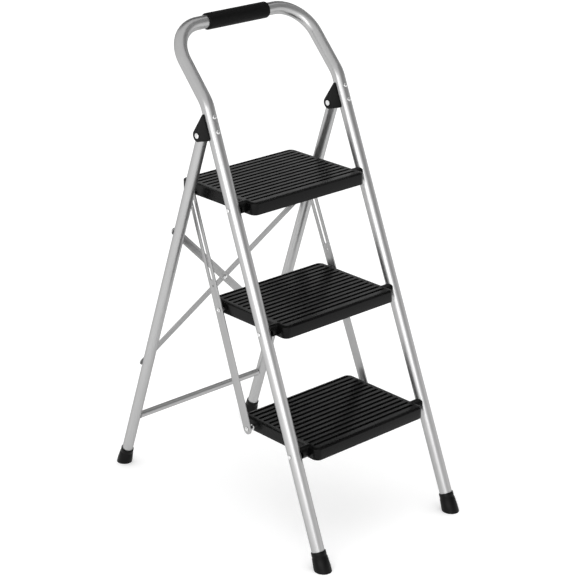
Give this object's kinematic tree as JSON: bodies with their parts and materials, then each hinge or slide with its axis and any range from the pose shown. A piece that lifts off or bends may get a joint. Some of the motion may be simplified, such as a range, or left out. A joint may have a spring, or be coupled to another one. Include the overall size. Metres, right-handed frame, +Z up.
{
  "type": "folding step stool",
  "caption": "Folding step stool: bent tube front frame with a foam grip, hinged braced rear frame, ribbed plastic treads tied by slotted side links, rubber feet.",
  "frame": {"origin": "centre of the footprint on the floor", "axes": "+Z up, the user climbs from -Y and faces +Y, +X to the user's right"},
  "size_m": [0.388, 0.653, 0.9832],
  "materials": {
    "frame_paint": "satin silver paint",
    "link_paint": "satin grey paint",
    "rivet_steel": "bright plated",
    "tread_plastic": "matte, ribbed",
    "bracket_plastic": "matte",
    "foot_rubber": "matte",
    "grip_rubber": "matte foam rubber"
  },
  "bodies": {
    "front": {"front_frame": "frame_paint", "handle_grip": "grip_rubber", "tread_pivot_rivet_bottom_left": "rivet_steel", "tread_pivot_rivet_bottom_right": "rivet_steel", "tread_pivot_rivet_middle_left": "rivet_steel", "tread_pivot_rivet_middle_right": "rivet_steel", "tread_pivot_rivet_top_left": "rivet_steel", "tread_pivot_rivet_top_right": "rivet_steel", "hinge_bracket_left": "bracket_plastic", "hinge_bracket_right": "bracket_plastic", "hinge_pin_left": "rivet_steel", "hinge_pin_right": "rivet_steel", "bracket_rivet_lower_left": "rivet_steel", "bracket_rivet_lower_right": "rivet_steel", "bracket_rivet_upper_left": "rivet_steel", "bracket_rivet_upper_right": "rivet_steel", "front_foot_left": "foot_rubber", "front_foot_right": "foot_rubber"},
    "rear": {"rear_leg_left": "frame_paint", "rear_leg_right": "frame_paint", "rear_foot_left": "foot_rubber", "rear_foot_right": "foot_rubber", "brace_left_top": "link_paint", "brace_right_top": "link_paint", "brace_rivet_centre": "rivet_steel", "brace_rivet_lower_left": "rivet_steel", "brace_rivet_lower_right": "rivet_steel", "brace_rivet_upper_left": "rivet_steel", "brace_rivet_upper_right": "rivet_steel", "slot_pin_left": "rivet_steel", "slot_pin_right": "rivet_steel", "rear_crossbar": "frame_paint", "crossbar_rivet_left": "rivet_steel", "crossbar_rivet_right": "rivet_steel"},
    "tread_bottom": {"tread_bottom": "tread_plastic", "link_rivet_bottom_left": "rivet_steel", "link_rivet_bottom_right": "rivet_steel"},
    "tread_middle": {"tread_middle": "tread_plastic", "link_rivet_middle_left": "rivet_steel", "link_rivet_middle_right": "rivet_steel"},
    "tread_top": {"tread_top": "tread_plastic", "link_rivet_top_left": "rivet_steel", "link_rivet_top_right": "rivet_steel"},
    "link_left": {"link_left": "link_paint"},
    "link_right": {"link_right": "link_paint"}
  },
  "joints": [
    {"name": "rear_fold", "type": "hinge", "parent": "front", "child": "rear", "pos_m": [0, 0.03677, 0.78381], "axis": [-1, 0, 0], "range_deg": [0, 40.7]},
    {"name": "tread_bottom_fold", "type": "hinge", "parent": "front", "child": "tread_bottom", "pos_m": [0, -0.22489, 0.2115], "axis": [1, 0, 0], "range_deg": [0, 60]},
    {"name": "tread_middle_fold", "type": "hinge", "parent": "front", "child": "tread_middle", "pos_m": [0, -0.13705, 0.4345], "axis": [1, 0, 0], "range_deg": [0, 60]},
    {"name": "tread_top_fold", "type": "hinge", "parent": "front", "child": "tread_top", "pos_m": [0, -0.0492, 0.6575], "axis": [1, 0, 0], "range_deg": [0, 60]},
    {"name": "link_left_swing", "type": "hinge", "parent": "tread_bottom", "child": "link_left", "pos_m": [0, -0.07239, 0.207], "axis": [1, 0, 0], "range_deg": [-60, 0]},
    {"name": "link_right_swing", "type": "hinge", "parent": "tread_bottom", "child": "link_right", "pos_m": [0, -0.07239, 0.207], "axis": [1, 0, 0], "range_deg": [-60, 0]}
  ],
  "couplings": [
    {"joint": "tread_bottom_fold", "follows": "rear_fold", "ratio": 1.474},
    {"joint": "tread_middle_fold", "follows": "rear_fold", "ratio": 1.474},
    {"joint": "tread_top_fold", "follows": "rear_fold", "ratio": 1.474},
    {"joint": "link_left_swing", "follows": "rear_fold", "ratio": -1.474},
    {"joint": "link_right_swing", "follows": "rear_fold", "ratio": -1.474}
  ]
}
